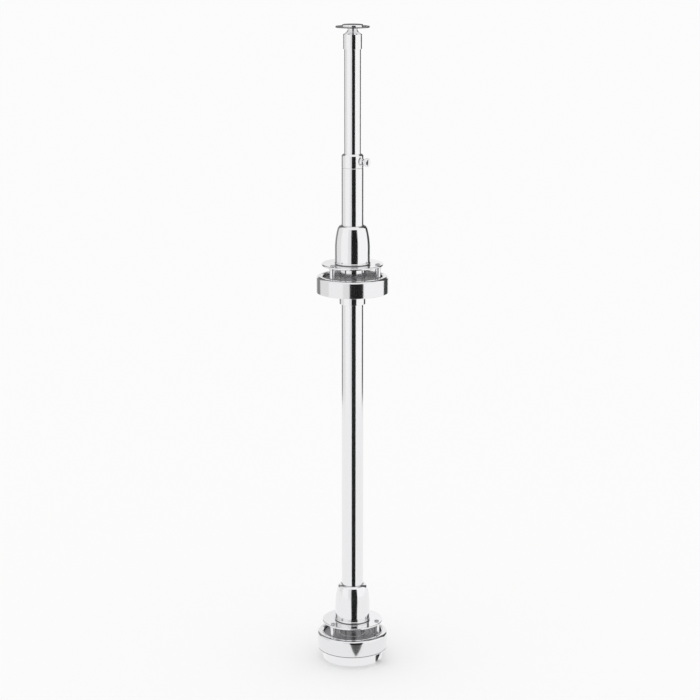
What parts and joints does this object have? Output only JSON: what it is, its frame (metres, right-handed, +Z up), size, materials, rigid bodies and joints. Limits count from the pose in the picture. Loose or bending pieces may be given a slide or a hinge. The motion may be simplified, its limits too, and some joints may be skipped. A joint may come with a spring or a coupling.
{
  "type": "flag pole stand",
  "caption": "Slim telescopic column with revolving hub discs on caged ball bearings, a weighted round foot, a side clamp screw and a turning top plate.",
  "frame": {"origin": "on the floor, at the centre of the foot, on the column's axis", "axes": "+Z up along the column; -Y is the front; +X is the right side, where the clamp screw stands out"},
  "size_m": [0.0824, 0.0824, 0.7427],
  "materials": {
    "bright_chrome": "mirror-polished chrome plate",
    "satin_chrome": "fine-turned chrome plate, slightly less sharp than the tubes",
    "dark_steel": "turned and blackened steel",
    "plain_steel": "zinc-plated steel",
    "bearing_steel": "ground bearing steel, lightly oiled",
    "brass": "plain turned brass",
    "nylon": "natural nylon",
    "cast_iron": "black-painted rough casting",
    "rubber": "matt black rubber"
  },
  "bodies": {
    "column": {"foot_pad": "rubber", "foot_weight": "cast_iron", "foot_shell": "bright_chrome", "main_tube": "bright_chrome", "tube_head": "bright_chrome", "clamp_boss": "bright_chrome", "tube_plug": "nylon", "lower_housing": "satin_chrome", "lower_sleeve": "bright_chrome", "lower_sleeve_nut": "plain_steel", "lower_sleeve_screw": "plain_steel", "lower_race_screws": "plain_steel", "lower_stop_collar": "plain_steel", "lower_collar_screw": "plain_steel", "lower_fixed_race": "bearing_steel", "upper_housing": "satin_chrome", "upper_sleeve": "bright_chrome", "upper_sleeve_nut": "plain_steel", "upper_sleeve_screw": "plain_steel", "upper_race_screws": "plain_steel", "upper_stop_collar": "plain_steel", "upper_collar_screw": "plain_steel", "upper_fixed_race": "bearing_steel"},
    "lower_carrier": {"lower_turning_race": "bearing_steel", "lower_turntable": "dark_steel", "lower_spacer": "bright_chrome", "lower_pillars": "bright_chrome", "lower_disc": "bright_chrome", "lower_bell": "bright_chrome", "lower_turntable_bush": "nylon", "lower_bell_bush": "nylon", "lower_table_screws": "plain_steel", "lower_disc_screws": "plain_steel"},
    "lower_ball_cage": {"lower_ball_cage": "brass", "lower_balls": "bearing_steel"},
    "upper_carrier": {"upper_turning_race": "bearing_steel", "upper_turntable": "dark_steel", "upper_spacer": "bright_chrome", "upper_pillars": "bright_chrome", "upper_disc": "bright_chrome", "upper_bell": "bright_chrome", "upper_turntable_bush": "nylon", "upper_bell_bush": "nylon", "upper_table_screws": "plain_steel", "upper_disc_screws": "plain_steel"},
    "upper_ball_cage": {"upper_ball_cage": "brass", "upper_balls": "bearing_steel"},
    "clamp_pad": {"clamp_pad": "brass"},
    "clamp_screw": {"clamp_screw": "bright_chrome"},
    "mast": {"inner_tube": "bright_chrome", "top_cap": "bright_chrome", "guide_bush": "nylon", "guide_pin": "plain_steel", "cap_screw": "plain_steel"},
    "top_swivel": {"top_plate": "bright_chrome", "top_button": "bright_chrome", "swivel_stem": "bright_chrome", "stem_clip": "plain_steel"}
  },
  "joints": [
    {"name": "lower_carrier_turn", "type": "hinge", "parent": "column", "child": "lower_carrier", "pos_m": [0, 0, 0.0302], "axis": [0, 0, 1], "continuous": true},
    {"name": "lower_cage_turn", "type": "hinge", "parent": "column", "child": "lower_ball_cage", "pos_m": [0, 0, 0.0225], "axis": [0, 0, 1], "continuous": true},
    {"name": "upper_carrier_turn", "type": "hinge", "parent": "column", "child": "upper_carrier", "pos_m": [0, 0, 0.4572], "axis": [0, 0, 1], "continuous": true},
    {"name": "upper_cage_turn", "type": "hinge", "parent": "column", "child": "upper_ball_cage", "pos_m": [0, 0, 0.4495], "axis": [0, 0, 1], "continuous": true},
    {"name": "mast_slide", "type": "slide", "parent": "column", "child": "mast", "axis": [0, 0, 1], "range_m": [-0.115, 0.111]},
    {"name": "top_plate_turn", "type": "hinge", "parent": "mast", "child": "top_swivel", "pos_m": [0, 0, 0.7384], "axis": [0, 0, 1], "continuous": true},
    {"name": "clamp_pad_slide", "type": "slide", "parent": "column", "child": "clamp_pad", "axis": [0.8387, -0.5446, 0], "range_m": [0, 0.0012]},
    {"name": "clamp_screw_turn", "type": "hinge", "parent": "clamp_pad", "child": "clamp_screw", "pos_m": [0, 0, 0.5908], "axis": [0.8387, -0.5446, 0], "range_deg": [0, 540]}
  ],
  "couplings": [
    {"joint": "lower_cage_turn", "follows": "lower_carrier_turn", "ratio": 0.5},
    {"joint": "upper_cage_turn", "follows": "upper_carrier_turn", "ratio": 0.5},
    {"joint": "clamp_screw_turn", "follows": "clamp_pad_slide", "rad_per_m": 7854}
  ]
}
